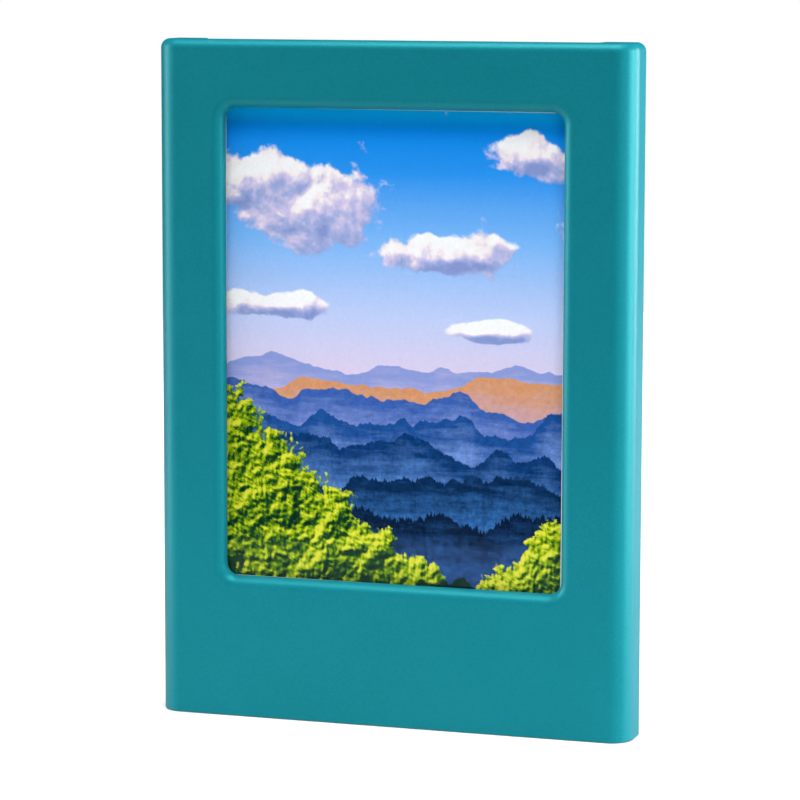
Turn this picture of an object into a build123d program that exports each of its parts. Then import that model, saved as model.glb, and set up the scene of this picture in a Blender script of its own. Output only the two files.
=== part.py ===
from build123d import *

import os

# A small magnetic photo frame that holds one 54 x 86 mm instant print. The frame is a moulded front with
# a window, a clear sheet taped behind the window, a cover that snaps into the back, two foam strips that
# press the print forward and four disc magnets in the cover. The print slides in and out through a slot
# in the top. The origin is the middle of the underside, the front faces -Y and +Z is up. Lengths are in
# millimetres, and depths are counted from the front face.

os.makedirs("parts", exist_ok=True)

# The print, a standard small instant print: its picture and the white borders round it
picture_width = 46.0
picture_height = 62.0
print_side_border = 4.0
print_top_border = 6.9
print_bottom_border = 17.1
print_thickness = 0.45
print_corner_radius = 1.5

# Window in the front wall, with a rounded lip
window_reveal = 0.1
window_corner_radius = 1.6
lip_radius = 1.5
lip_land = 0.1

# Clear sheet and the tape ring that holds it behind the window
sheet_thickness = 0.4
sheet_overlap = 2.0
sheet_clearance = 0.15
tape_thickness = 0.1
tape_setback = 0.3

# Channel that the print slides in
print_side_clearance = 0.25
print_front_gap = 0.1
print_rest_gap = 0.1
channel_depth = 1.3
rail_thickness = 1.0

# Walls and outer shape of the front frame
side_wall = 1.6
side_cavity_width = 2.65
floor_wall = 1.8
top_wall = 1.6
print_cover_height = 2.1
side_edge_radius = 3.0
top_edge_radius = 1.2
bottom_edge_radius = 0.3
rear_edge_radius = 0.2
web_thickness = 1.0
web_place_shares = (-0.3, 0.0, 0.3)

# Magnets and their pockets
magnet_radius = 5.0
magnet_thickness = 2.0
magnet_chamfer = 0.15
magnet_sink = 0.05
magnet_pocket_clearance = 0.1
magnet_pocket_floor = 0.55
magnet_side_gap = 5.9
magnet_end_gap = 5.3

# Back cover
cover_gap = 0.15
tongue_drop = 0.1
cover_edge_chamfer = 0.2
finger_opening_width = 15.0
finger_opening_chamfer = 0.4

# Snap beads on the cover and the grooves that they click into
bead_length = 8.0
bead_rise = 0.35
bead_width = 0.9
bead_tip_share = 0.4
bead_clearance = 0.1
bead_end_clearance = 0.2
bead_place_shares = (-0.38, 0.0, 0.38)

# Foam strips that press the print forward, between the magnets and the finger opening
pad_side_gap = 7.25
pad_width = 6.0
pad_thickness = 1.2
pad_print_gap = 0.1
pad_recess_clearance = 0.2
pad_to_magnet_gap = 2.5
pad_to_opening_gap = 4.5

# How far a cutting shape runs past the face that it cuts, and how near an edge counts as at a place
overrun = 1.0
match_tolerance = 0.001

# The whole print
print_width = picture_width + 2 * print_side_border
print_height = print_bottom_border + picture_height + print_top_border

# Depths, counted from the front face
lip_depth = lip_radius + lip_land
sheet_depth = lip_depth + tape_thickness
front_wall = sheet_depth + sheet_thickness
print_depth = front_wall + print_front_gap
pad_depth = print_depth + print_thickness + pad_print_gap
cover_depth = front_wall + channel_depth
magnet_pocket_depth = magnet_thickness + magnet_sink
cover_thickness = magnet_pocket_depth + magnet_pocket_floor
frame_depth = cover_depth + cover_thickness
front_y = -frame_depth / 2

# Widths, each from the middle to one side
channel_half = print_width / 2 + print_side_clearance
rail_half = channel_half + rail_thickness
cavity_half = rail_half + side_cavity_width
frame_half = cavity_half + side_wall

# Heights above the underside
print_bottom = floor_wall + print_rest_gap
frame_height = print_bottom + print_height + print_cover_height
cavity_top = frame_height - top_wall
cavity_middle = (floor_wall + cavity_top) / 2
picture_middle = print_bottom + print_bottom_border + picture_height / 2

# Window and clear sheet, full sizes
window_width = picture_width + 2 * window_reveal
window_height = picture_height + 2 * window_reveal
sheet_width = window_width + 2 * sheet_overlap
sheet_height = window_height + 2 * sheet_overlap
sheet_corner_radius = window_corner_radius + sheet_overlap / 2

# Magnets near the corners of the cover, foam strips next to them, and the finger opening between those
magnet_x = cavity_half - magnet_side_gap - magnet_radius
magnet_offset = cavity_top - cavity_middle - magnet_end_gap - magnet_radius
magnet_places = {
    "magnet_top_left": (-magnet_x, cavity_middle + magnet_offset),
    "magnet_top_right": (magnet_x, cavity_middle + magnet_offset),
    "magnet_bottom_left": (-magnet_x, cavity_middle - magnet_offset),
    "magnet_bottom_right": (magnet_x, cavity_middle - magnet_offset),
}
pad_half = channel_half - pad_side_gap
pad_offset = magnet_offset - magnet_radius - pad_to_magnet_gap - pad_width / 2
finger_opening_height = 2 * (pad_offset - pad_width / 2 - pad_to_opening_gap)


def block(low_x, high_x, low_depth, high_depth, low_z, high_z):
    """A plain block between two widths, two depths from the front face and two heights."""
    size = Box(high_x - low_x, high_depth - low_depth, high_z - low_z)
    middle = ((low_x + high_x) / 2, front_y + (low_depth + high_depth) / 2, (low_z + high_z) / 2)
    return size.translate(middle)


def rounded_plate(width, height, radius, low_depth, high_depth, middle_z):
    """An upright plate with rounded corners, centred left to right at a height."""
    face = Plane.XZ * RectangleRounded(width, height, radius)
    plate = extrude(face, amount=high_depth - low_depth)
    return plate.translate((0, front_y + high_depth, middle_z))


def depth_cylinder(radius, low_depth, high_depth, x, z):
    """A cylinder that lies front to back."""
    disc = Plane.XZ * Circle(radius)
    return extrude(disc, amount=high_depth - low_depth).translate((x, front_y + high_depth, z))


def both_sides(solid):
    """The solid and its mirror image on the other side of the frame."""
    return [solid, mirror(solid, about=Plane.YZ)]


def edges_at(solid, axis, value):
    """Edges whose middle lies at one value along an axis."""
    return solid.edges().filter_by_position(axis, value - match_tolerance, value + match_tolerance)


def outer_body():
    """The solid outline of the frame: deep side rounds, a soft top edge and a crisp foot."""
    body = block(-frame_half, frame_half, 0, frame_depth, 0, frame_height)
    rear_y = front_y + frame_depth
    side_edges = [e for e in body.edges().filter_by(Axis.Z) if e.center().Y < 0]
    body = fillet(side_edges, radius=side_edge_radius)
    for height, radius in ((frame_height, top_edge_radius), (0, bottom_edge_radius)):
        rim = [e for e in edges_at(body, Axis.Z, height) if e.center().Y < rear_y - match_tolerance]
        body = fillet(rim, radius=radius)
    return fillet(edges_at(body, Axis.Y, rear_y), radius=rear_edge_radius)


def bead_shape(rise, width, length, middle_z):
    """A low trapezoid ridge along the right edge of the cover, or the groove for it."""
    edge_x = cavity_half - cover_gap
    middle_depth = cover_depth + cover_thickness / 2
    half = width / 2
    tip = half * bead_tip_share
    points = [
        (edge_x - overrun, front_y + middle_depth - half),
        (edge_x, front_y + middle_depth - half),
        (edge_x + rise, front_y + middle_depth - tip),
        (edge_x + rise, front_y + middle_depth + tip),
        (edge_x, front_y + middle_depth + half),
        (edge_x - overrun, front_y + middle_depth + half),
    ]
    ridge = extrude(make_face(Polyline(*points, close=True)), amount=length)
    return ridge.translate((0, 0, middle_z - length / 2))


def bead_heights():
    """Heights of the snap beads along each side."""
    return [cavity_middle + share * (cavity_top - floor_wall) for share in bead_place_shares]


def front_frame():
    """The moulded front: window, rails for the print, side cavities with webs and snap grooves."""
    body = outer_body()

    # Window and the shallow recess for the clear sheet
    body -= rounded_plate(
        window_width, window_height, window_corner_radius, -overrun, front_wall + overrun, picture_middle
    )
    lip_edges = [
        e
        for e in edges_at(body, Axis.Y, front_y)
        if abs(e.center().X) < window_width / 2 + match_tolerance
        and abs(e.center().Z - picture_middle) < window_height / 2 + match_tolerance
    ]
    body = fillet(lip_edges, radius=lip_radius)
    body -= rounded_plate(
        sheet_width + 2 * sheet_clearance,
        sheet_height + 2 * sheet_clearance,
        sheet_corner_radius + sheet_clearance,
        lip_depth,
        frame_depth + overrun,
        picture_middle,
    )

    # Channel for the print, open at the top, and the seat of the cover with its tongue
    body -= block(
        -channel_half, channel_half, front_wall, frame_depth + overrun, floor_wall, frame_height + overrun
    )
    body -= block(-cavity_half, cavity_half, cover_depth, frame_depth + overrun, floor_wall, cavity_top)

    # Side cavities that core out the wide side bands, each crossed by thin webs
    cavity = block(rail_half, cavity_half, front_wall, cover_depth + overrun, floor_wall, cavity_top)
    for share in web_place_shares:
        web_z = cavity_middle + share * (cavity_top - floor_wall)
        cavity -= block(
            rail_half - overrun,
            cavity_half + overrun,
            front_wall - overrun,
            cover_depth,
            web_z - web_thickness / 2,
            web_z + web_thickness / 2,
        )
    for side in both_sides(cavity):
        body -= side

    # Grooves that the cover's beads click into
    for height in bead_heights():
        groove = bead_shape(
            bead_rise + bead_clearance,
            bead_width + 2 * bead_clearance,
            bead_length + 2 * bead_end_clearance,
            height,
        )
        for side in both_sides(groove):
            body -= side
    return body


def window_sheet():
    """Clear polyester sheet in the recess behind the window."""
    return rounded_plate(
        sheet_width, sheet_height, sheet_corner_radius, sheet_depth, front_wall, picture_middle
    )


def window_tape():
    """Die-cut ring of double-sided tape between the lip and the clear sheet."""
    ring = rounded_plate(
        sheet_width, sheet_height, sheet_corner_radius, lip_depth, sheet_depth, picture_middle
    )
    return ring - rounded_plate(
        window_width + 2 * tape_setback,
        window_height + 2 * tape_setback,
        window_corner_radius + tape_setback,
        lip_depth - overrun,
        sheet_depth + overrun,
        picture_middle,
    )


def photo_print():
    """The print itself, a stiff laminated card with small rounded corners."""
    return rounded_plate(
        print_width,
        print_height,
        print_corner_radius,
        print_depth,
        print_depth + print_thickness,
        print_bottom + print_height / 2,
    )


def pad_block(clearance, low_depth, side):
    """Room for one foam strip, above or below the finger opening, or the strip itself."""
    middle_z = cavity_middle + side * pad_offset
    return block(
        -pad_half - clearance,
        pad_half + clearance,
        low_depth,
        pad_depth + pad_thickness,
        middle_z - pad_width / 2 - clearance,
        middle_z + pad_width / 2 + clearance,
    )


def back_cover():
    """The snap-in back: plate, tongue behind the slot, finger opening, pockets and recesses."""
    plate_half = cavity_half - cover_gap
    tongue_half = channel_half - cover_gap
    plate = block(
        -plate_half, plate_half, cover_depth, frame_depth, floor_wall + cover_gap, cavity_top - cover_gap
    )
    tongue = block(
        -tongue_half, tongue_half, cover_depth, frame_depth, cavity_middle, frame_height - tongue_drop
    )
    cover = plate + tongue
    cover = chamfer(edges_at(cover, Axis.Y, front_y + frame_depth), length=cover_edge_chamfer)

    # Upright opening for a fingertip, which pushes the print up and out
    opening = Plane.XZ * SlotOverall(finger_opening_height, finger_opening_width, rotation=90)
    cutter = extrude(opening, amount=cover_thickness + 2 * overrun)
    cover -= cutter.translate((0, front_y + frame_depth + overrun, cavity_middle))
    opening_edges = [
        e
        for e in edges_at(cover, Axis.Y, front_y + frame_depth)
        if abs(e.center().X) < finger_opening_width / 2 + match_tolerance
        and abs(e.center().Z - cavity_middle) < finger_opening_height / 2 + match_tolerance
    ]
    cover = chamfer(opening_edges, length=finger_opening_chamfer)

    for x, z in magnet_places.values():
        cover -= depth_cylinder(
            magnet_radius + magnet_pocket_clearance,
            frame_depth - magnet_pocket_depth,
            frame_depth + overrun,
            x,
            z,
        )
    for side in (-1, 1):
        cover -= pad_block(pad_recess_clearance, cover_depth - overrun, side)
    for height in bead_heights():
        for bead in both_sides(bead_shape(bead_rise, bead_width, bead_length, height)):
            cover += bead
    return cover


def magnet(x, z):
    """One nickel-plated disc magnet on the floor of its pocket, just below the cover's surface."""
    disc = depth_cylinder(
        magnet_radius, frame_depth - magnet_pocket_depth, frame_depth - magnet_sink, x, z
    )
    return chamfer(disc.edges().filter_by(GeomType.CIRCLE), length=magnet_chamfer)


parts = {
    "front_frame": front_frame(),
    "window_tape": window_tape(),
    "window_sheet": window_sheet(),
    "photo_print": photo_print(),
    "back_cover": back_cover(),
    "upper_pad": pad_block(0, pad_depth, 1),
    "lower_pad": pad_block(0, pad_depth, -1),
}
for name, (x, z) in magnet_places.items():
    parts[name] = magnet(x, z)

for name, solid in parts.items():
    export_step(solid, f"parts/{name}.step")
    size = solid.bounding_box().size
    print(f"{name:20s} {size.X:6.2f} {size.Y:6.2f} {size.Z:6.2f}  volume {solid.volume:9.2f}")
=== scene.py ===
import math

import bpy
from mathutils import Matrix, Vector


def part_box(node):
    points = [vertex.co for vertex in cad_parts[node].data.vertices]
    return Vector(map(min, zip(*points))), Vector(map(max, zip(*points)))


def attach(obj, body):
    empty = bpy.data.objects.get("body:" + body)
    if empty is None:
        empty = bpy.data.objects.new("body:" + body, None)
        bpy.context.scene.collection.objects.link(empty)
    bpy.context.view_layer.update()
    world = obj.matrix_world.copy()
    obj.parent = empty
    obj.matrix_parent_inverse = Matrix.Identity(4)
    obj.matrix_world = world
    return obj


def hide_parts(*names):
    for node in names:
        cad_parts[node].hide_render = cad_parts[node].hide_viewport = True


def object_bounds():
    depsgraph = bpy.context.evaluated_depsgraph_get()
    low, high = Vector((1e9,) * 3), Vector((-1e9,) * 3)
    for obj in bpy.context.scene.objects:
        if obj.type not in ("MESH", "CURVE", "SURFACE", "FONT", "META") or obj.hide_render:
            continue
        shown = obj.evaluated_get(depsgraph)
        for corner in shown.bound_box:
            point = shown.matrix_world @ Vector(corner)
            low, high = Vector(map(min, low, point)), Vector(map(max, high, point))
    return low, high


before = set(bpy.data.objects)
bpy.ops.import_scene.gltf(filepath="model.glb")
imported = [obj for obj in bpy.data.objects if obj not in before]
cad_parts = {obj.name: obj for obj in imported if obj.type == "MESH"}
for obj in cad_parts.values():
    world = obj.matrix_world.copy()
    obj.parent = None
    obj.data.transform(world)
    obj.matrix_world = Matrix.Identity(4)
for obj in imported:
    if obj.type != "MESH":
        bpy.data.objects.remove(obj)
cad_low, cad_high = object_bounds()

# Camera: a long lens, a little above the middle of the frame and to its right, so that its right side
# shows. It looks at the front face, as worked out from the edges of the window and of the frame.
mm = 0.001
sensor_width = 36.0
camera_lens = 154.6
camera_distance = 446.6 * mm
camera_yaw = math.radians(18.05)
camera_pitch = math.radians(7.39)
camera_roll = math.radians(-0.12)
camera_target = Vector((1.43 * mm, cad_low[1], 43.56 * mm))
camera_reach = 20.0


def direction(azimuth, elevation):
    """The way out from the frame at an azimuth, which is 0 in front and 90 degrees to the right."""
    return Vector(
        (
            math.sin(azimuth) * math.cos(elevation),
            -math.cos(azimuth) * math.cos(elevation),
            math.sin(elevation),
        )
    )


camera_data = bpy.data.cameras.new("camera")
camera_data.lens = camera_lens
camera_data.sensor_width = sensor_width
camera_data.clip_start = mm
camera_data.clip_end = camera_reach
camera = bpy.data.objects.new("camera", camera_data)
bpy.context.scene.collection.objects.link(camera)
camera.location = camera_target + direction(camera_yaw, camera_pitch) * camera_distance
camera.rotation_euler = (math.pi / 2 - camera_pitch, camera_roll, camera_yaw)
bpy.context.scene.camera = camera

# Front frame: the teal shell, injection moulded in ABS. Its sides turn back in deep rounds, its window has
# a soft lip, and its back is cored out for the print's channel, the cover and, at each side, a row of
# cells between thin webs.
frame_low, frame_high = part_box("front_frame")
sheet_low, sheet_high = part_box("window_sheet")
tape_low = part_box("window_tape")[0]
cover_low, cover_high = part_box("back_cover")
print_low, print_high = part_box("photo_print")
side_round = 3.0 * mm
top_round = 1.2 * mm
foot_round = 0.3 * mm
rear_round = 0.2 * mm
sheet_overlap = 2.0 * mm
window_corner_round = 1.6 * mm
lip_round = 1.5 * mm
print_side_clearance = 0.25 * mm
rail_thickness = 1.0 * mm
web_thickness = 1.0 * mm
web_place_shares = (-0.3, 0.0, 0.3)
sheet_clearance = 0.15 * mm
cover_gap = 0.15 * mm
bead_rise = 0.35 * mm
bead_width = 0.9 * mm
bead_length = 8.0 * mm
bead_tip_share = 0.4
bead_clearance = 0.1 * mm
bead_end_clearance = 0.2 * mm
bead_place_shares = (-0.38, 0.0, 0.38)
overrun = 1.0 * mm
near = 0.002 * mm
side_round_segments = 24
lip_segments = 12
small_round_segments = 5
smooth_angle = math.radians(35)

window_half = sheet_high.x - sheet_overlap
window_bottom = sheet_low.z + sheet_overlap
window_top = sheet_high.z - sheet_overlap
channel_half = print_high.x + print_side_clearance
rail_half = channel_half + rail_thickness
plate_half = cover_high.x - bead_rise
cavity_half = plate_half + cover_gap
cavity_bottom = cover_low.z - cover_gap
cavity_top = frame_high.z - (frame_high.x - cavity_half)
cavity_middle = (cavity_bottom + cavity_top) / 2


def activate(piece):
    """Makes a piece the only one that is selected, and the active one."""
    bpy.ops.object.select_all(action="DESELECT")
    piece.select_set(True)
    bpy.context.view_layer.objects.active = piece


def block(name, low, high):
    """A block between two corners, with its place in its mesh."""
    bpy.ops.object.select_all(action="DESELECT")
    low, high = Vector(low), Vector(high)
    bpy.ops.mesh.primitive_cube_add(size=1, location=(low + high) / 2, scale=high - low)
    piece = bpy.context.object
    piece.name = name
    bpy.ops.object.transform_apply(location=True, rotation=True, scale=True)
    return piece


def choose_edges(piece, test):
    """Goes into edit mode with only the edges selected whose two ends pass a test."""
    activate(piece)
    bpy.ops.object.mode_set(mode="EDIT")
    bpy.ops.mesh.select_mode(type="EDGE")
    bpy.ops.mesh.select_all(action="DESELECT")
    bpy.ops.object.mode_set(mode="OBJECT")
    points = piece.data.vertices
    for edge in piece.data.edges:
        edge.select = test(points[edge.vertices[0]].co, points[edge.vertices[1]].co)
    bpy.ops.object.mode_set(mode="EDIT")


def round_edges(piece, radius, segments, test):
    """Rounds the edges of a piece that pass a test."""
    choose_edges(piece, test)
    bpy.ops.mesh.bevel(
        offset=radius, segments=segments, affect="EDGES", loop_slide=False, clamp_overlap=False
    )
    bpy.ops.object.mode_set(mode="OBJECT")


def upright(a, b):
    """True for an edge that runs up and down."""
    return abs(a.x - b.x) < near and abs(a.y - b.y) < near


def depthwise(a, b):
    """True for an edge that runs front to back."""
    return abs(a.x - b.x) < near and abs(a.z - b.z) < near


def on_plane(a, b, axis, value):
    """True for an edge that lies in the plane at a value along an axis."""
    return abs(a[axis] - value) < near and abs(b[axis] - value) < near


def rounded_tool(low, high, radius, segments):
    """A block whose four front-to-back edges are rounded."""
    tool = block("tool", low, high)
    round_edges(tool, radius, segments, depthwise)
    return tool


def carve(piece, tool, operation="DIFFERENCE"):
    """Takes a tool's shape out of a piece, or adds it, and deletes the tool."""
    modifier = piece.modifiers.new("carve", "BOOLEAN")
    modifier.operation = operation
    modifier.solver = "EXACT"
    modifier.object = tool
    activate(piece)
    bpy.ops.object.modifier_apply(modifier=modifier.name)
    bpy.data.objects.remove(tool)


def smooth(piece):
    """Shades the rounds smooth and keeps the flats flat."""
    activate(piece)
    bpy.ops.object.shade_smooth_by_angle(angle=smooth_angle)
    modifier = piece.modifiers.new("even_normals", "WEIGHTED_NORMAL")
    modifier.keep_sharp = True
    bpy.ops.object.modifier_apply(modifier=modifier.name)


def snap_bead(side, middle_z, rise, width, length):
    """One low ridge with slanted flanks on the cover's edge, or the room for it in the frame.

    Its root reaches half an overrun into the cover, and its flanks keep their slant on the way.
    """
    edge_x = side * plate_half
    tip_x = edge_x + side * rise
    left_x, right_x = sorted((edge_x, tip_x))
    middle_y = (cover_low.y + cover_high.y) / 2
    root_share = 1 + overrun / rise / 2 * (1 - bead_tip_share)
    bead = block(
        "bead",
        (left_x, middle_y - width / 2, middle_z - length / 2),
        (right_x, middle_y + width / 2, middle_z + length / 2),
    )
    for point in bead.data.vertices:
        at_root = abs(point.co.x - edge_x) < near
        if at_root:
            point.co.x -= side * overrun / 2
        point.co.y = middle_y + (point.co.y - middle_y) * (root_share if at_root else bead_tip_share)
    return bead


bead_heights = [cavity_middle + share * (cavity_top - cavity_bottom) for share in bead_place_shares]

shell = block("frame_shell", frame_low, frame_high)
round_edges(
    shell,
    side_round,
    side_round_segments,
    lambda a, b: upright(a, b) and on_plane(a, b, 1, frame_low.y),
)
for height, radius, segments in (
    (frame_high.z, top_round, lip_segments),
    (frame_low.z, foot_round, small_round_segments),
):
    round_edges(
        shell,
        radius,
        segments,
        lambda a, b: on_plane(a, b, 2, height) and not on_plane(a, b, 1, frame_high.y),
    )
round_edges(shell, rear_round, small_round_segments, lambda a, b: on_plane(a, b, 1, frame_high.y))

carve(
    shell,
    rounded_tool(
        (-window_half, frame_low.y - overrun, window_bottom),
        (window_half, frame_high.y - overrun, window_top),
        window_corner_round,
        lip_segments,
    ),
)


def at_window(a, b):
    """True for an edge of the window's rim in the front face."""
    middle = (a + b) / 2
    return (
        on_plane(a, b, 1, frame_low.y)
        and abs(middle.x) < window_half + near
        and window_bottom - near < middle.z < window_top + near
    )


round_edges(shell, lip_round, lip_segments, at_window)
carve(
    shell,
    rounded_tool(
        (sheet_low.x - sheet_clearance, tape_low.y, sheet_low.z - sheet_clearance),
        (sheet_high.x + sheet_clearance, frame_high.y + overrun, sheet_high.z + sheet_clearance),
        window_corner_round + sheet_overlap / 2 + sheet_clearance,
        small_round_segments,
    ),
)
carve(
    shell,
    block(
        "tool",
        (-channel_half, sheet_high.y, cavity_bottom),
        (channel_half, frame_high.y + overrun, frame_high.z + overrun),
    ),
)
carve(
    shell,
    block(
        "tool",
        (-cavity_half, cover_low.y, cavity_bottom),
        (cavity_half, frame_high.y + overrun, cavity_top),
    ),
)
web_heights = [cavity_middle + share * (cavity_top - cavity_bottom) for share in web_place_shares]
cell_ends = [cavity_bottom - web_thickness / 2, *web_heights, cavity_top + web_thickness / 2]
for side in (-1, 1):
    cell_left, cell_right = sorted((side * rail_half, side * cavity_half))
    for low_end, high_end in zip(cell_ends, cell_ends[1:]):
        carve(
            shell,
            block(
                "tool",
                (cell_left, sheet_high.y, low_end + web_thickness / 2),
                (cell_right, cover_low.y + overrun, high_end - web_thickness / 2),
            ),
        )
    for height in bead_heights:
        carve(
            shell,
            snap_bead(
                side,
                height,
                bead_rise + bead_clearance,
                bead_width + 2 * bead_clearance,
                bead_length + 2 * bead_end_clearance,
            ),
        )
smooth(shell)


def linear(code):
    """An sRGB hex colour as linear red, green, blue and full alpha, by the standard curve."""
    parts = [int(code[i : i + 2], 16) / 255 for i in (1, 3, 5)]
    return (*(p / 12.92 if p <= 0.04045 else ((p + 0.055) / 1.055) ** 2.4 for p in parts), 1.0)


def add_node(tree, kind, settings=(), feeds=(), stops=()):
    """Adds a shader node with its settings, what feeds its sockets, and a colour ramp's stops."""
    made = tree.nodes.new("ShaderNode" + kind)
    for name, value in dict(settings).items():
        setattr(made, name, value)
    for socket, value in dict(feeds).items():
        if isinstance(value, bpy.types.NodeSocket):
            tree.links.new(value, made.inputs[socket])
        else:
            made.inputs[socket].default_value = value
    for i, (place, colour) in enumerate(stops):
        elements = made.color_ramp.elements
        stop = elements[i] if i < len(elements) else elements.new(place)
        stop.position = place
        stop.color = linear(colour)
    return made


def new_material(name):
    """A material with an empty tree and its output node."""
    made = bpy.data.materials.new(name)
    made.use_nodes = True
    made.node_tree.nodes.clear()
    return made, made.node_tree, add_node(made.node_tree, "OutputMaterial")


# Moulded ABS, satin, from a spark-eroded tool whose fine texture is drawn as coarse as it needs to show.
# The plastic is a little milky, so that its highlights take on its colour, and its pigment is faintly
# mottled. The texture shades itself where the surface is seen at a slant, so there the sheen fades.
shade_size = 9.0 * mm
shade_spread = (0.35, 0.65)
noise_low, noise_high = 0.3, 0.7
roughness_swing = 0.05
mottle = 0.07
abs_ior = 1.53
abs_gloss = 0.57
slant_gloss = 0.08
sheen_fade = (0.28, 0.7)
even_facing = 0.5
milky_highlight = "#50ffff"


def moulded_plastic(name, colour, colour_variation, grain_size, grain_height, roughness):
    """The teal plastic of one moulding, in two close shades, with the texture of its own tool."""
    made, tree, output = new_material(name)
    place = add_node(tree, "TexCoord").outputs["Object"]
    cloud = add_node(
        tree,
        "TexNoise",
        feeds={"Vector": place, "Scale": 1 / shade_size, "Detail": 3.0, "Roughness": 0.6},
    )
    tint = add_node(
        tree,
        "ValToRGB",
        feeds={"Fac": cloud.outputs["Fac"]},
        stops=((shade_spread[0], colour_variation), (shade_spread[1], colour)),
    )
    grain = add_node(
        tree,
        "TexNoise",
        feeds={"Vector": place, "Scale": 1 / grain_size, "Detail": 2.0, "Roughness": 0.7},
    )
    bump = add_node(
        tree,
        "Bump",
        feeds={"Strength": 1.0, "Distance": grain_height, "Height": grain.outputs["Fac"]},
    )
    spread = {"Value": grain.outputs["Fac"], "From Min": noise_low, "From Max": noise_high}
    rough = add_node(
        tree,
        "MapRange",
        feeds={**spread, "To Min": roughness - roughness_swing, "To Max": roughness + roughness_swing},
    )
    pigment = add_node(tree, "MapRange", feeds={**spread, "To Min": 1 - mottle, "To Max": 1 + mottle})
    mottled = add_node(
        tree,
        "VectorMath",
        {"operation": "SCALE"},
        {0: tint.outputs["Color"], "Scale": pigment.outputs["Result"]},
    )
    slant = add_node(tree, "LayerWeight", feeds={"Blend": even_facing})
    sheen = add_node(
        tree,
        "MapRange",
        feeds={
            "Value": slant.outputs["Facing"],
            "From Min": sheen_fade[0],
            "From Max": sheen_fade[1],
            "To Min": abs_gloss,
            "To Max": slant_gloss,
        },
    )
    shader = add_node(
        tree,
        "BsdfPrincipled",
        feeds={
            "Base Color": mottled.outputs["Vector"],
            "Roughness": rough.outputs["Result"],
            "IOR": abs_ior,
            "Specular IOR Level": sheen.outputs["Result"],
            "Specular Tint": linear(milky_highlight),
            "Normal": bump.outputs["Normal"],
        },
    )
    # The gloss seen square on stays in the socket, for where its link isn't followed
    shader.inputs["Specular IOR Level"].default_value = abs_gloss
    tree.links.new(shader.outputs["BSDF"], output.inputs["Surface"])
    return made


frame_plastic = moulded_plastic(
    "moulded_abs_teal",
    colour="#0e717e",
    colour_variation="#0c6f7c",
    grain_size=0.32 * mm,
    grain_height=0.012 * mm,
    roughness=0.43,
)
shell.data.materials.append(frame_plastic)
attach(shell, "frame")
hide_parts("front_frame")

# Tape ring: white double-sided film tape, die-cut, that bonds the clear sheet to the back of the lip. It
# is 0.1 mm thick and hides behind the lip, so its solid keeps its shape and gets a fibrous film finish.
tape_fibre = 0.4 * mm
tape_roughness = 0.6

tape_film, tree, output = new_material("double_sided_film_tape")
place = add_node(tree, "TexCoord").outputs["Object"]
fibres = add_node(tree, "TexNoise", feeds={"Vector": place, "Scale": 1 / tape_fibre, "Detail": 4.0})
tint = add_node(
    tree,
    "ValToRGB",
    feeds={"Fac": fibres.outputs["Fac"]},
    stops=((noise_low, "#d9d8d2"), (noise_high, "#eeeeea")),
)
shader = add_node(
    tree, "BsdfPrincipled", feeds={"Base Color": tint.outputs["Color"], "Roughness": tape_roughness}
)
tree.links.new(shader.outputs["BSDF"], output.inputs["Surface"])
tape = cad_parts["window_tape"]
tape.data.materials.clear()
tape.data.materials.append(tape_film)

# Clear sheet: polyester, die-cut from glossy film 0.4 mm thick and pressed onto the tape behind the
# window. Its coated surface shows only by faint reflections, a little softer where it has been touched.
touch_spacing = 12 * mm
touch_spread = (0.35, 0.7)
clean_haze, touched_haze = 0.03, 0.1
even_slant = 0.5
grazing_power = 8.0
film_reflection = 0.004

clear_polyester, tree, output = new_material("clear_polyester_film")
place = add_node(tree, "TexCoord").outputs["Object"]
touches = add_node(
    tree,
    "TexNoise",
    feeds={"Vector": place, "Scale": 1 / touch_spacing, "Detail": 3.0, "Roughness": 0.5},
)
haze = add_node(
    tree,
    "MapRange",
    feeds={
        "Value": touches.outputs["Fac"],
        "From Min": touch_spread[0],
        "From Max": touch_spread[1],
        "To Min": clean_haze,
        "To Max": touched_haze,
    },
)
slant = add_node(tree, "LayerWeight", feeds={"Blend": even_slant})
grazing = add_node(
    tree, "Math", {"operation": "POWER"}, {0: slant.outputs["Facing"], 1: grazing_power}
)
mirrored = add_node(
    tree,
    "MapRange",
    feeds={"Value": grazing.outputs["Value"], "To Min": film_reflection, "To Max": 1.0},
)
see_through = add_node(tree, "BsdfTransparent", feeds={"Color": linear("#fcfdfd")})
reflection = add_node(
    tree,
    "BsdfAnisotropic",
    feeds={"Color": linear("#ffffff"), "Roughness": haze.outputs["Result"]},
)
film = add_node(
    tree,
    "MixShader",
    feeds={0: mirrored.outputs["Result"], 1: see_through.outputs["BSDF"], 2: reflection.outputs["BSDF"]},
)
tree.links.new(film.outputs["Shader"], output.inputs["Surface"])
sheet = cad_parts["window_sheet"]
sheet.data.materials.clear()
sheet.data.materials.append(clear_polyester)

# Instant print: a stiff laminated card with rounded corners, white in front round a sunk picture and matt
# black behind, where a thicker flap runs along its foot. It stands on the floor of the channel and slides
# up and out of the slot.
print_corner_round = 1.5 * mm
print_edge_round = 0.05 * mm
print_side_border = 4.0 * mm
print_bottom_border = 17.1 * mm
print_top_border = 6.9 * mm
picture_side_growth = 0.07 * mm
picture_end_growth = 0.13 * mm
picture_shift = -0.26 * mm
picture_drop = 0.09 * mm
picture_turn = math.radians(0.12)
picture_sink = 0.04 * mm
picture_corner_round = 1.3 * mm
backing_thickness = 0.12 * mm
backing_inset = 0.25 * mm
flap_height = 15.0 * mm
flap_step = 0.05 * mm
fine_round_segments = 3

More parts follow.
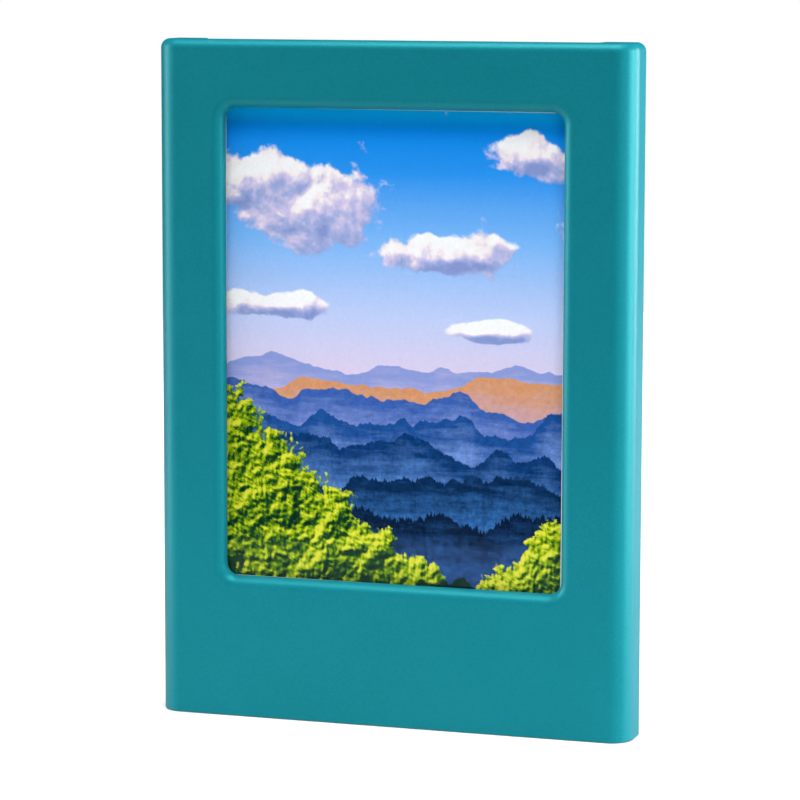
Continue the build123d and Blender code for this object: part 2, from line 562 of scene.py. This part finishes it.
picture_low = Vector(
    (
        print_low.x + print_side_border + picture_shift - picture_side_growth,
        print_low.y,
        print_low.z + print_bottom_border - picture_drop - picture_end_growth,
    )
)
picture_high = Vector(
    (
        print_high.x - print_side_border + picture_shift + picture_side_growth,
        print_low.y + picture_sink,
        print_high.z - print_top_border - picture_drop + picture_end_growth,
    )
)
picture_middle = (picture_low + picture_high) / 2
card_back = print_high.y - backing_thickness
card = rounded_tool(
    print_low, (print_high.x, card_back, print_high.z), print_corner_round, lip_segments
)
card.name = "print_card"


def at_card_rim(a, b):
    """True for an edge of the card's outline, at its front or its back."""
    return on_plane(a, b, 1, print_low.y) or on_plane(a, b, 1, card_back)


def picture_block(front_y):
    """The picture's outline as a block back to its sunk face, turned as it sits in the card."""
    made = rounded_tool(
        (picture_low.x, front_y, picture_low.z), picture_high, picture_corner_round, lip_segments
    )
    turn = Matrix.Rotation(picture_turn, 4, "Y")
    made.data.transform(Matrix.Translation(picture_middle) @ turn @ Matrix.Translation(-picture_middle))
    return made


round_edges(card, print_edge_round, fine_round_segments, at_card_rim)
carve(card, picture_block(print_low.y - overrun))
smooth(card)

picture = picture_block(print_low.y + picture_sink / 2)
picture.name = "print_picture"
smooth(picture)

backing = rounded_tool(
    (print_low.x + backing_inset, card_back, print_low.z + backing_inset),
    (print_high.x - backing_inset, print_high.y, print_high.z - backing_inset),
    print_corner_round - backing_inset,
    lip_segments,
)
backing.name = "print_backing"
carve(
    backing,
    block(
        "tool",
        (print_low.x - overrun, print_high.y - flap_step, print_low.z + flap_height),
        (print_high.x + overrun, print_high.y + overrun, print_high.z + overrun),
    ),
)
smooth(backing)

# White coated card: bright and even, a satin gloss with a very fine tooth
card_tooth = 0.25 * mm
card_tooth_height = 0.001 * mm
card_roughness = 0.32

white_card, tree, output = new_material("coated_white_card")
place = add_node(tree, "TexCoord").outputs["Object"]
tooth = add_node(tree, "TexNoise", feeds={"Vector": place, "Scale": 1 / card_tooth, "Detail": 3.0})
tint = add_node(
    tree,
    "ValToRGB",
    feeds={"Fac": tooth.outputs["Fac"]},
    stops=((noise_low, "#efefed"), (noise_high, "#f7f7f5")),
)
bump = add_node(
    tree,
    "Bump",
    feeds={"Strength": 1.0, "Distance": card_tooth_height, "Height": tooth.outputs["Fac"]},
)
shader = add_node(
    tree,
    "BsdfPrincipled",
    feeds={
        "Base Color": tint.outputs["Color"],
        "Roughness": card_roughness,
        "Normal": bump.outputs["Normal"],
    },
)
tree.links.new(shader.outputs["BSDF"], output.inputs["Surface"])
card.data.materials.append(white_card)

# Black backing film: matt, with a fine embossed linen that runs across it. The bands of a wave at scale 1
# lie 0.314 apart.
linen_pitch = 0.5 * mm
linen_depth = 0.006 * mm
band_spacing = 0.314
backing_roughness = 0.55

black_film, tree, output = new_material("matt_black_backing_film")
place = add_node(tree, "TexCoord").outputs["Object"]
linen = add_node(
    tree,
    "TexWave",
    {"wave_type": "BANDS", "bands_direction": "Z"},
    {
        "Vector": place,
        "Scale": band_spacing / linen_pitch,
        "Distortion": 1.2,
        "Detail": 2.0,
        "Detail Scale": 4.0,
    },
)
bump = add_node(
    tree, "Bump", feeds={"Strength": 1.0, "Distance": linen_depth, "Height": linen.outputs["Fac"]}
)
tint = add_node(
    tree,
    "ValToRGB",
    feeds={"Fac": linen.outputs["Fac"]},
    stops=((0.0, "#17181a"), (1.0, "#1e2022")),
)
shader = add_node(
    tree,
    "BsdfPrincipled",
    feeds={
        "Base Color": tint.outputs["Color"],
        "Roughness": backing_roughness,
        "Normal": bump.outputs["Normal"],
    },
)
tree.links.new(shader.outputs["BSDF"], output.inputs["Surface"])
backing.data.materials.append(black_film)

# Printed picture: a generic view of wooded ridges under a summer sky, laid down from the sky forward. It
# is a dye image under a glossy film, a little soft and grainy. Its places and sizes are in millimetres,
# counted from its lower left corner.
picture_width = (picture_high.x - picture_low.x) / mm
picture_height = (picture_high.z - picture_low.z) / mm

landscape, tree, output = new_material("printed_ridge_landscape")
place = add_node(tree, "TexCoord").outputs["Object"]
on_print = add_node(
    tree,
    "Mapping",
    feeds={
        "Vector": place,
        "Scale": (1 / mm, 1 / mm, 1 / mm),
        "Location": (-picture_low.x / mm, 0.0, -picture_low.z / mm),
    },
).outputs["Vector"]
split = add_node(tree, "SeparateXYZ", feeds={"Vector": on_print})
across, height = split.outputs["X"], split.outputs["Z"]

# Sky, from a warm haze over the ridges to deep blue, then painted paler along the top: painted light that
# offsets the shade the window lip casts there
sky_foot = 25.0
up_the_sky = add_node(
    tree, "MapRange", feeds={"Value": height, "From Min": sky_foot, "From Max": picture_height}
)
colour = add_node(
    tree,
    "ValToRGB",
    feeds={"Fac": up_the_sky.outputs["Result"]},
    stops=(
        (0.0, "#ecd2ea"),
        (0.28, "#c4d2fb"),
        (0.54, "#80bcfc"),
        (0.78, "#2c98f4"),
        (0.93, "#068cf0"),
        # painted highlight: the top of the sky made paler to offset the window lip's shade
        (1.0, "#04b6ff"),
    ),
).outputs["Color"]


def puffs(shift, size, detail, banks, push):
    """Fractal noise pushed up inside soft ellipses, each with its middle and half its sizes."""
    moved = add_node(tree, "Mapping", feeds={"Vector": on_print, "Location": shift}).outputs["Vector"]
    noise = add_node(
        tree,
        "TexNoise",
        feeds={
            "Vector": moved,
            "Scale": 1 / size,
            "Detail": detail,
            "Roughness": 0.58,
            "Distortion": 0.2,
        },
    )
    density = noise.outputs["Fac"]
    for middle_x, middle_z, half_width, half_height in banks:
        in_bank = add_node(
            tree,
            "Mapping",
            feeds={
                "Vector": moved,
                "Scale": (1 / half_width, 0.0, 1 / half_height),
                "Location": (-middle_x / half_width, 0.0, -middle_z / half_height),
            },
        )
        ellipse = add_node(
            tree, "TexGradient", {"gradient_type": "SPHERICAL"}, {"Vector": in_bank.outputs["Vector"]}
        )
        density = add_node(
            tree,
            "Math",
            {"operation": "MULTIPLY_ADD"},
            {0: ellipse.outputs["Fac"], 1: push, 2: density},
        ).outputs["Value"]
    return density


def lay_puffs(colour, size, detail, banks, push, light, edge, contrast, stops):
    """Lays puffs over a colour, bright where they thin out towards the light and dark elsewhere."""
    density = puffs((0.0, 0.0, 0.0), size, detail, banks, push)
    cover = add_node(
        tree,
        "MapRange",
        {"interpolation_type": "SMOOTHSTEP"},
        {"Value": density, "From Min": edge[0], "From Max": edge[1]},
    )
    here = puffs((0.0, 0.0, 0.0), size, detail / 2, banks, push)
    towards_light = puffs(light, size, detail / 2, banks, push)
    relief = add_node(tree, "Math", {"operation": "SUBTRACT"}, {0: here, 1: towards_light})
    lit = add_node(
        tree,
        "MapRange",
        feeds={"Value": relief.outputs["Value"], "From Min": -contrast, "From Max": contrast},
    )
    puff_colour = add_node(tree, "ValToRGB", feeds={"Fac": lit.outputs["Result"]}, stops=stops)
    return add_node(
        tree,
        "MixRGB",
        feeds={
            "Fac": cover.outputs["Result"],
            "Color1": colour,
            "Color2": puff_colour.outputs["Color"],
        },
    ).outputs["Color"]


# Clouds, white towards the light and lilac grey below. A bank is given by its middle across and up, and by
# half its width and half its height.
cloud_banks = (
    (11.0, 49.5, 14.0, 7.5),
    (3.0, 54.0, 9.0, 5.0),
    (31.0, 43.5, 12.0, 4.2),
    (42.0, 56.5, 10.0, 4.2),
    (7.0, 36.5, 12.0, 2.8),
    (36.0, 34.0, 9.0, 2.0),
)
colour = lay_puffs(
    colour,
    size=8.5,
    detail=9.0,
    banks=cloud_banks,
    push=0.55,
    light=(-0.6, 0.0, 1.0),
    edge=(0.63, 0.71),
    contrast=0.15,
    stops=((0.0, "#8b9bd4"), (0.3, "#a9b2e2"), (0.55, "#dccfee"), (0.75, "#fff4f6"), (0.95, "#fffdff")),
)

# Ridges, the furthest first, and last the near bank. A ridge is given by its height, its rise from left to
# right, the height and spacing of its slopes, the height of its trees, and the colours of its crest and
# of the haze at its foot.
ridges = (
    (28.6, 0.0, 3.0, 17.0, 0.0, "#8f9edc", "#cfbfe4"),
    (26.4, 3.5, 2.4, 14.0, 0.0, "#d9986c", "#c5a4b8"),
    (24.6, -4.0, 3.4, 12.0, 0.0, "#3a60ae", "#8c9cd8"),
    (21.4, 1.0, 3.6, 9.0, 0.2, "#1b4c92", "#6f8fd0"),
    (17.6, -2.0, 4.0, 12.0, 0.5, "#0a366c", "#4f7cc0"),
    (13.0, 2.0, 3.6, 10.0, 0.8, "#05284f", "#2f64a4"),
    (7.6, 3.0, 3.4, 8.0, 1.1, "#031a36", "#1c4a84"),
    (2.6, -10.0, 2.4, 6.0, 0.5, "#07281f", "#123c22"),
)
slope_gain = 2.5
tree_gain = 2.0
tree_spacing = 0.45
crest_softness = 0.06
noise_step = 7.3
mist_stretch = 0.16
mist_per_mm = 0.9
mist_depth = 11.0
haze_start, haze_end = 6.2, 12.5
wood_per_mm = 1.1
wood_shadow, wood_light = 0.11, 0.16
for index, ridge in enumerate(ridges):
    crest, tilt, relief_height, spacing, tree_height, crest_colour, foot_colour = ridge
    along = add_node(
        tree,
        "Math",
        {"operation": "MULTIPLY_ADD"},
        {0: across, 1: 1 / spacing, 2: noise_step * (index + 1)},
    ).outputs["Value"]
    slopes = add_node(
        tree,
        "TexNoise",
        {"noise_dimensions": "1D"},
        {"W": along, "Scale": 1.0, "Detail": 5.0, "Roughness": 0.5},
    )
    tops = add_node(
        tree,
        "TexNoise",
        {"noise_dimensions": "1D"},
        {"W": along, "Scale": spacing / tree_spacing, "Detail": 3.0, "Roughness": 0.8},
    )
    line = add_node(
        tree,
        "Math",
        {"operation": "MULTIPLY_ADD"},
        {0: across, 1: tilt / picture_width, 2: crest - tilt / 2 - slope_gain / 2 * relief_height},
    ).outputs["Value"]
    for noise, amount in ((slopes, slope_gain * relief_height), (tops, tree_gain * tree_height)):
        line = add_node(
            tree, "Math", {"operation": "MULTIPLY_ADD"}, {0: noise.outputs["Fac"], 1: amount, 2: line}
        ).outputs["Value"]
    below = add_node(tree, "Math", {"operation": "SUBTRACT"}, {0: line, 1: height}).outputs["Value"]
    mask = add_node(
        tree, "MapRange", feeds={"Value": below, "From Min": -crest_softness, "From Max": crest_softness}
    )
    drawn_out = add_node(
        tree,
        "Mapping",
        feeds={
            "Vector": on_print,
            "Location": (noise_step * index, 0.0, 0.0),
            "Scale": (mist_stretch, 0.0, 1.0),
        },
    )
    mist = add_node(
        tree,
        "TexNoise",
        feeds={
            "Vector": drawn_out.outputs["Vector"],
            "Scale": mist_per_mm,
            "Detail": 7.0,
            "Roughness": 0.65,
        },
    )
    deep = add_node(
        tree, "Math", {"operation": "MULTIPLY_ADD"}, {0: mist.outputs["Fac"], 1: mist_depth, 2: below}
    )
    depth = add_node(
        tree,
        "MapRange",
        feeds={"Value": deep.outputs["Value"], "From Min": haze_start, "From Max": haze_end},
    )
    hazy = add_node(
        tree,
        "MixRGB",
        feeds={
            "Fac": depth.outputs["Result"],
            "Color1": linear(crest_colour),
            "Color2": linear(foot_colour),
        },
    )
    wood = add_node(
        tree,
        "TexNoise",
        feeds={"Vector": on_print, "Scale": wood_per_mm, "Detail": 7.0, "Roughness": 0.8},
    )
    shade = add_node(
        tree,
        "MapRange",
        {"clamp": False},
        {
            "Value": wood.outputs["Fac"],
            "From Min": noise_low,
            "From Max": noise_high,
            "To Min": 1 - wood_shadow * index,
            "To Max": 1 + wood_light * index,
        },
    )
    wooded = add_node(
        tree,
        "VectorMath",
        {"operation": "SCALE"},
        {0: hazy.outputs["Color"], "Scale": shade.outputs["Result"]},
    )
    colour = add_node(
        tree,
        "MixRGB",
        feeds={"Fac": mask.outputs["Result"], "Color1": colour, "Color2": wooded.outputs["Vector"]},
    ).outputs["Color"]

# Crowns of shrubs on the near bank, yellow green in the sun. They are given as the banks of cloud are.
crowns = (
    (1.5, 17.5, 6.0, 12.0),
    (8.0, 12.5, 5.6, 10.0),
    (14.6, 8.2, 5.0, 7.6),
    (20.4, 4.0, 5.4, 6.0),
    (27.0, 1.0, 5.6, 4.4),
    (3.0, 7.0, 8.0, 9.0),
    (45.0, 4.5, 6.0, 8.0),
    (39.0, 0.0, 6.0, 5.0),
    (11.0, 1.5, 9.0, 6.0),
)
colour = lay_puffs(
    colour,
    size=1.6,
    detail=8.0,
    banks=crowns,
    push=0.9,
    light=(-0.25, 0.0, 0.4),
    edge=(0.84, 0.88),
    contrast=0.16,
    stops=((0.0, "#05261f"), (0.3, "#16461c"), (0.5, "#5f8a0e"), (0.68, "#a9c010"), (0.92, "#e6e242")),
)

# Dye grain, then the clear gloss over the dyes
dye_grain = 0.22
dye_low, dye_high = 0.94, 1.04
picture_roughness = 0.3
picture_gloss = 0.06
grain = add_node(
    tree,
    "TexNoise",
    feeds={"Vector": on_print, "Scale": 1 / dye_grain, "Detail": 2.0, "Roughness": 0.7},
)
grain_shade = add_node(
    tree,
    "MapRange",
    feeds={
        "Value": grain.outputs["Fac"],
        "From Min": noise_low,
        "From Max": noise_high,
        "To Min": dye_low,
        "To Max": dye_high,
    },
)
grainy = add_node(
    tree, "VectorMath", {"operation": "SCALE"}, {0: colour, "Scale": grain_shade.outputs["Result"]}
)
shader = add_node(
    tree,
    "BsdfPrincipled",
    feeds={
        "Base Color": grainy.outputs["Vector"],
        "Roughness": picture_roughness,
        "Specular IOR Level": picture_gloss,
    },
)
tree.links.new(shader.outputs["BSDF"], output.inputs["Surface"])
picture.data.materials.append(landscape)
for part_of_print in (card, picture, backing):
    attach(part_of_print, "print")
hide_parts("photo_print")

# Foam strips: two lengths of closed-cell foam, die-cut and glued into recesses in the cover, above and
# below the finger opening. The cut cells leave them dull and finely pitted. They press the print forward,
# and show through the window when the print is out.
foam_edge_round = 0.22 * mm
foam_cell = 0.16 * mm
foam_cell_depth = 0.03 * mm
foam_blotch = 3 * mm
foam_roughness = 0.85

closed_cell_foam, tree, output = new_material("closed_cell_eva_foam")
place = add_node(tree, "TexCoord").outputs["Object"]
cells = add_node(tree, "TexVoronoi", feeds={"Vector": place, "Scale": 1 / foam_cell})
blotches = add_node(tree, "TexNoise", feeds={"Vector": place, "Scale": 1 / foam_blotch, "Detail": 3.0})
tint = add_node(
    tree,
    "ValToRGB",
    feeds={"Fac": blotches.outputs["Fac"]},
    stops=((noise_low, "#2b2c2e"), (noise_high, "#38393b")),
)
bump = add_node(
    tree,
    "Bump",
    {"invert": True},
    {"Strength": 1.0, "Distance": foam_cell_depth, "Height": cells.outputs["Distance"]},
)
shader = add_node(
    tree,
    "BsdfPrincipled",
    feeds={
        "Base Color": tint.outputs["Color"],
        "Roughness": foam_roughness,
        "Normal": bump.outputs["Normal"],
    },
)
tree.links.new(shader.outputs["BSDF"], output.inputs["Surface"])

for node in ("upper_pad", "lower_pad"):
    pad_low, pad_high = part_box(node)
    strip = block(node + "_foam", pad_low, pad_high)
    round_edges(
        strip,
        foam_edge_round,
        small_round_segments,
        lambda a, b: not on_plane(a, b, 1, pad_high.y),
    )
    smooth(strip)
    strip.data.materials.append(closed_cell_foam)
    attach(strip, "frame")
    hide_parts(node)

# Back cover: moulded in the same teal ABS with a slightly coarser texture. It snaps into the frame by
# beads along its sides, has a tongue behind the slot, an upright opening for a fingertip and four magnet
# pockets. Inside, the tool's ejector pins have left six faint marks.
cover_edge_round = 0.2 * mm
tongue_half = channel_half - cover_gap
finger_opening_half = 7.5 * mm
finger_edge_round = 0.4 * mm
pad_recess_clearance = 0.2 * mm
pad_to_opening_gap = 4.5 * mm
magnet_names = ("magnet_top_left", "magnet_top_right", "magnet_bottom_left", "magnet_bottom_right")
magnet_pocket_clearance = 0.1 * mm
pocket_edge_round = 0.08 * mm
pocket_sides = 96
ejector_mark_radius = 1.6 * mm
ejector_mark_depth = 0.05 * mm
ejector_mark_inset = 3 * ejector_mark_radius
ejector_mark_end_gap = 4 * ejector_mark_radius
flat_angle = math.radians(1)

finger_opening_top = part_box("upper_pad")[0].z - pad_to_opening_gap
finger_opening_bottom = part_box("lower_pad")[1].z + pad_to_opening_gap


def disc(name, radius, low_y, high_y, x, z, sides):
    """A disc that lies front to back, with its place in its mesh."""
    bpy.ops.object.select_all(action="DESELECT")
    bpy.ops.mesh.primitive_cylinder_add(
        vertices=sides,
        radius=radius,
        depth=high_y - low_y,
        location=(x, (low_y + high_y) / 2, z),
        rotation=(math.pi / 2, 0, 0),
    )
    piece = bpy.context.object
    piece.name = name
    bpy.ops.object.transform_apply(location=True, rotation=True, scale=True)
    return piece


cover = block(
    "cover_plate",
    (-plate_half, cover_low.y, cover_low.z),
    (plate_half, cover_high.y, cavity_top - cover_gap),
)
carve(
    cover,
    block(
        "tongue",
        (-tongue_half, cover_low.y, cavity_middle),
        (tongue_half, cover_high.y, cover_high.z),
    ),
    "UNION",
)
activate(cover)
bpy.ops.object.mode_set(mode="EDIT")
bpy.ops.mesh.select_all(action="SELECT")
bpy.ops.mesh.dissolve_limited(angle_limit=flat_angle)
bpy.ops.object.mode_set(mode="OBJECT")
round_edges(
    cover, cover_edge_round, small_round_segments, lambda a, b: on_plane(a, b, 1, cover_high.y)
)
carve(
    cover,
    rounded_tool(
        (-finger_opening_half, cover_low.y - overrun, finger_opening_bottom),
        (finger_opening_half, cover_high.y + overrun, finger_opening_top),
        finger_opening_half - near,
        side_round_segments,
    ),
)


def at_finger_opening(a, b):
    """True for an edge of the finger opening's rim in the cover's outer face."""
    middle = (a + b) / 2
    return (
        on_plane(a, b, 1, cover_high.y)
        and abs(middle.x) < finger_opening_half + near
        and finger_opening_bottom - near < middle.z < finger_opening_top + near
    )


round_edges(cover, finger_edge_round, small_round_segments, at_finger_opening)
for name in magnet_names:
    magnet_low, magnet_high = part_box(name)
    middle = (magnet_low + magnet_high) / 2
    pocket_radius = (magnet_high.x - magnet_low.x) / 2 + magnet_pocket_clearance
    carve(
        cover,
        disc(
            "tool",
            pocket_radius,
            magnet_low.y,
            cover_high.y + overrun,
            middle.x,
            middle.z,
            pocket_sides,
        ),
    )
    round_edges(
        cover,
        pocket_edge_round,
        fine_round_segments,
        lambda a, b: on_plane(a, b, 1, cover_high.y)
        and math.hypot(a.x - middle.x, a.z - middle.z) < pocket_radius + near
        and math.hypot(b.x - middle.x, b.z - middle.z) < pocket_radius + near,
    )
for node in ("upper_pad", "lower_pad"):
    pad_low, pad_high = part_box(node)
    carve(
        cover,
        block(
            "tool",
            (pad_low.x - pad_recess_clearance, cover_low.y - overrun, pad_low.z - pad_recess_clearance),
            (pad_high.x + pad_recess_clearance, pad_high.y, pad_high.z + pad_recess_clearance),
        ),
    )
ejector_heights = (
    cavity_bottom + ejector_mark_end_gap,
    cavity_middle,
    cavity_top - ejector_mark_end_gap,
)
for side in (-1, 1):
    for height in bead_heights:
        carve(cover, snap_bead(side, height, bead_rise, bead_width, bead_length), "UNION")
    for height in ejector_heights:
        carve(
            cover,
            disc(
                "tool",
                ejector_mark_radius,
                cover_low.y - overrun,
                cover_low.y + ejector_mark_depth,
                side * (plate_half - ejector_mark_inset),
                height,
                pocket_sides // 2,
            ),
        )
smooth(cover)
cover_plastic = moulded_plastic(
    "moulded_abs_teal_back",
    colour="#0e717e",
    colour_variation="#0c6c7a",
    grain_size=0.4 * mm,
    grain_height=0.018 * mm,
    roughness=0.5,
)
cover.data.materials.append(cover_plastic)
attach(cover, "frame")
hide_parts("back_cover")

# Magnets: four neodymium discs, sintered, ground flat and plated with bright nickel, each glued into its
# pocket a hair below the cover's surface. Handling leaves the plating faintly clouded and scratched.
magnet_edge_round = 0.15 * mm
cloud_spacing = 2.5 * mm
clear_haze, clouded_haze = 0.17, 0.23
scratch_spacing = 0.35 * mm
scratch_stretch = 0.08
scratch_depth = 0.002 * mm

bright_nickel, tree, output = new_material("bright_nickel_plating")
place = add_node(tree, "TexCoord").outputs["Object"]
clouds = add_node(tree, "TexNoise", feeds={"Vector": place, "Scale": 1 / cloud_spacing, "Detail": 4.0})
stretched = add_node(tree, "Mapping", feeds={"Vector": place, "Scale": (scratch_stretch, 1.0, 1.0)})
scratches = add_node(
    tree,
    "TexNoise",
    feeds={
        "Vector": stretched.outputs["Vector"],
        "Scale": 1 / scratch_spacing,
        "Detail": 4.0,
        "Roughness": 0.7,
    },
)
tint = add_node(
    tree,
    "ValToRGB",
    feeds={"Fac": clouds.outputs["Fac"]},
    stops=((noise_low, "#cdc8be"), (noise_high, "#d4d0c7")),
)
haze = add_node(
    tree,
    "MapRange",
    feeds={
        "Value": clouds.outputs["Fac"],
        "From Min": noise_low,
        "From Max": noise_high,
        "To Min": clear_haze,
        "To Max": clouded_haze,
    },
)
bump = add_node(
    tree, "Bump", feeds={"Strength": 1.0, "Distance": scratch_depth, "Height": scratches.outputs["Fac"]}
)
shader = add_node(
    tree,
    "BsdfPrincipled",
    feeds={
        "Base Color": tint.outputs["Color"],
        "Metallic": 1.0,
        "Roughness": haze.outputs["Result"],
        "Normal": bump.outputs["Normal"],
    },
)
tree.links.new(shader.outputs["BSDF"], output.inputs["Surface"])

for name in magnet_names:
    magnet_low, magnet_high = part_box(name)
    middle = (magnet_low + magnet_high) / 2
    plated = disc(
        name + "_disc",
        (magnet_high.x - magnet_low.x) / 2,
        magnet_low.y,
        magnet_high.y,
        middle.x,
        middle.z,
        pocket_sides,
    )
    round_edges(
        plated,
        magnet_edge_round,
        small_round_segments,
        lambda a, b: on_plane(a, b, 1, magnet_low.y) or on_plane(a, b, 1, magnet_high.y),
    )
    smooth(plated)
    plated.data.materials.append(bright_nickel)
    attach(plated, "frame")
    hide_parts(name)

# Floor: a small round light table of white acrylic, in metres. Its glow grows towards its rim, so that it
# lights the frame's foot little and fades into the white round it.
floor_radius = 0.34
floor_front = 0.14
floor_drop = 0.01 * mm
floor_sides = 128
glow_middle, glow_rim = 0.25, 1.0
glow_reach = 0.9
bpy.ops.object.select_all(action="DESELECT")
bpy.ops.mesh.primitive_circle_add(
    vertices=floor_sides,
    radius=floor_radius,
    fill_type="NGON",
    location=(0, floor_radius - floor_front, cad_low[2] - floor_drop),
)
floor = bpy.context.object
floor.name = "floor"
floor_acrylic, tree, output = new_material("white_acrylic_table")
place = add_node(tree, "TexCoord").outputs["Object"]
from_frame = add_node(
    tree,
    "Mapping",
    feeds={
        "Vector": place,
        "Location": (0.0, (floor_radius - floor_front) / floor_radius, 0.0),
        "Scale": (1 / floor_radius, 1 / floor_radius, 0.0),
    },
)
nearness = add_node(
    tree, "TexGradient", {"gradient_type": "SPHERICAL"}, {"Vector": from_frame.outputs["Vector"]}
)
glow = add_node(
    tree,
    "MapRange",
    {"interpolation_type": "SMOOTHSTEP"},
    {
        "Value": nearness.outputs["Fac"],
        "From Min": 0.0,
        "From Max": glow_reach,
        "To Min": glow_rim,
        "To Max": glow_middle,
    },
)
surface = add_node(tree, "BsdfDiffuse", feeds={"Color": linear("#d3d3d3")})
lit_from_below = add_node(
    tree, "Emission", feeds={"Color": linear("#ffffff"), "Strength": glow.outputs["Result"]}
)
shader = add_node(
    tree, "AddShader", feeds={0: surface.outputs["BSDF"], 1: lit_from_below.outputs["Emission"]}
)
tree.links.new(shader.outputs["Shader"], output.inputs["Surface"])
floor.data.materials.append(floor_acrylic)

# Softboxes, which all face the middle of the frame. Each is given by its name, its azimuth and elevation in
# degrees, its width and height in metres, and its watts.
softbox_distance = 0.5
softboxes = (
    ("front_upper_softbox", 0, 63, 0.4, 0.12, 1.95),
    ("front_top_softbox", 0, 78, 0.3, 0.2, 1.0),
    ("overhead_softbox", 180, 88, 0.3, 0.3, 1.25),
    ("left_front_softbox", -60, 8, 0.16, 0.3, 0.35),
    ("left_softbox", -80, 8, 0.12, 0.3, 1.35),
    ("right_front_softbox", 45, 8, 0.16, 0.3, 0.4),
    ("right_softbox", 88, 8, 0.1, 0.3, 1.9),
    ("right_strip", 100, 8, 0.08, 0.3, 1.05),
    ("right_rear_softbox", 130, 8, 0.16, 0.3, 2.4),
)
lit_middle = Vector((0, 0, (cad_low[2] + cad_high[2]) / 2))
for name, azimuth, elevation, width, height, watts in softboxes:
    light = bpy.data.lights.new(name, "AREA")
    light.shape = "RECTANGLE"
    light.size = width
    light.size_y = height
    light.energy = watts
    softbox = bpy.data.objects.new(name, light)
    bpy.context.scene.collection.objects.link(softbox)
    outwards = direction(math.radians(azimuth), math.radians(elevation))
    softbox.location = lit_middle + outwards * softbox_distance
    softbox.rotation_euler = outwards.to_track_quat("Z", "Y").to_euler()
    softbox.visible_camera = False

# Room: dark to the frame and the table, and white where the camera looks past them
world = bpy.data.worlds.new("studio")
world.use_nodes = True
bpy.context.scene.world = world
tree = world.node_tree
tree.nodes.clear()
path = add_node(tree, "LightPath")
backdrop = add_node(
    tree, "Background", feeds={"Color": linear("#ffffff"), "Strength": path.outputs["Is Camera Ray"]}
)
add_node(tree, "OutputWorld", feeds={"Surface": backdrop.outputs["Background"]})
bpy.context.scene.view_settings.view_transform = "Standard"
